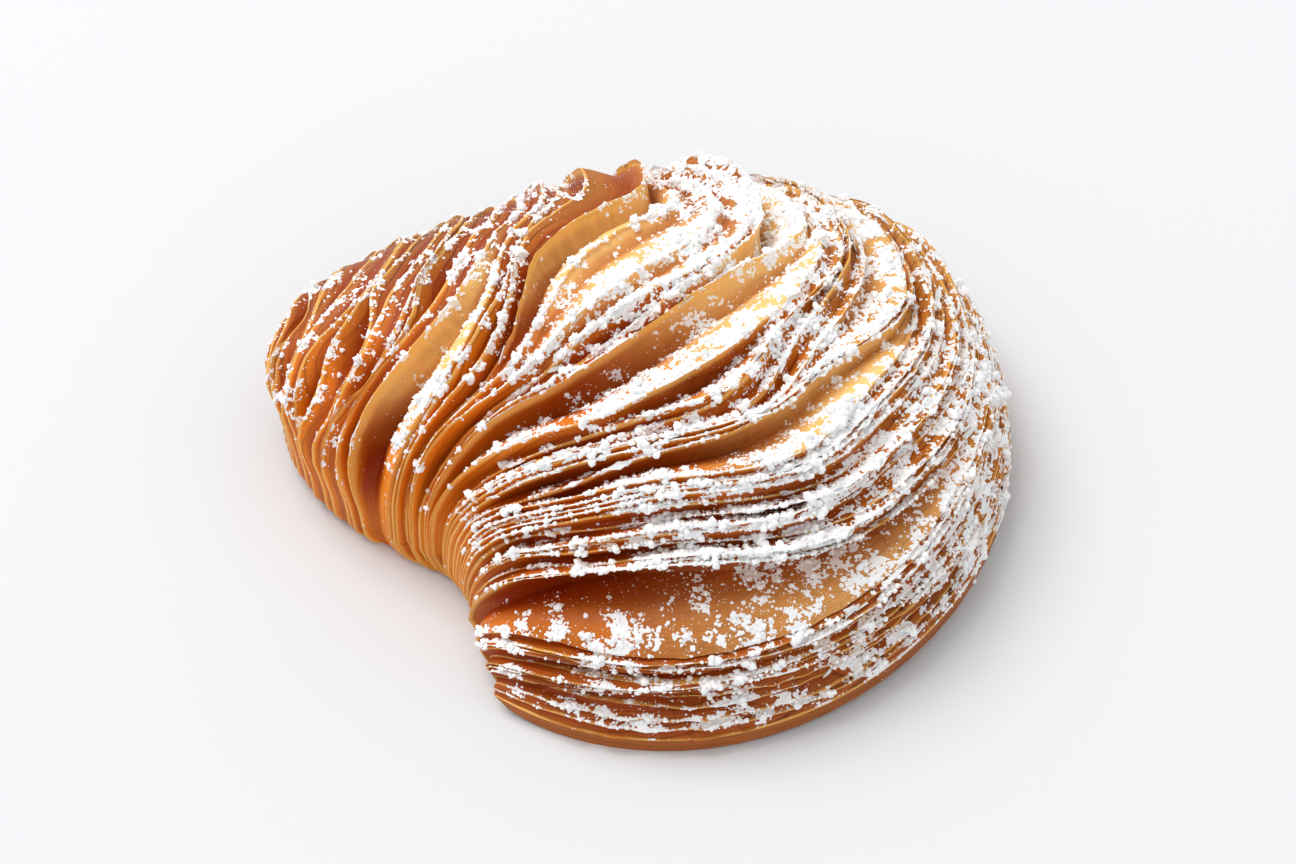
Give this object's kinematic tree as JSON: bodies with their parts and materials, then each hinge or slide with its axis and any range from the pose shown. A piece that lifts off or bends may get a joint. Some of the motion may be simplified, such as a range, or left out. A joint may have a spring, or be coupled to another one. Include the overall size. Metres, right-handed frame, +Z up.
{
  "type": "sfogliatella",
  "caption": "Clam-shaped flaky pastry lying flat: thin browned leaves fan in curved ridges from a small tip to a wide rounded rim, with open gaps between bundles.",
  "frame": {"origin": "centre of the bounding box in plan, at the table", "axes": "+X from the tip to the rounded rim, the pastry's length; +Y from the pinched near edge to the far edge; +Z up, the pastry's thickness"},
  "size_m": [0.1216, 0.0996, 0.044],
  "materials": {
    "baked_crust": "satin baked dough, paler where leaves were covered, with a dusting of icing sugar on the upper side",
    "icing_sugar": "matte fine white powder with small crumbs"
  },
  "bodies": {
    "root": {"pastry": "baked_crust"}
  },
  "joints": []
}
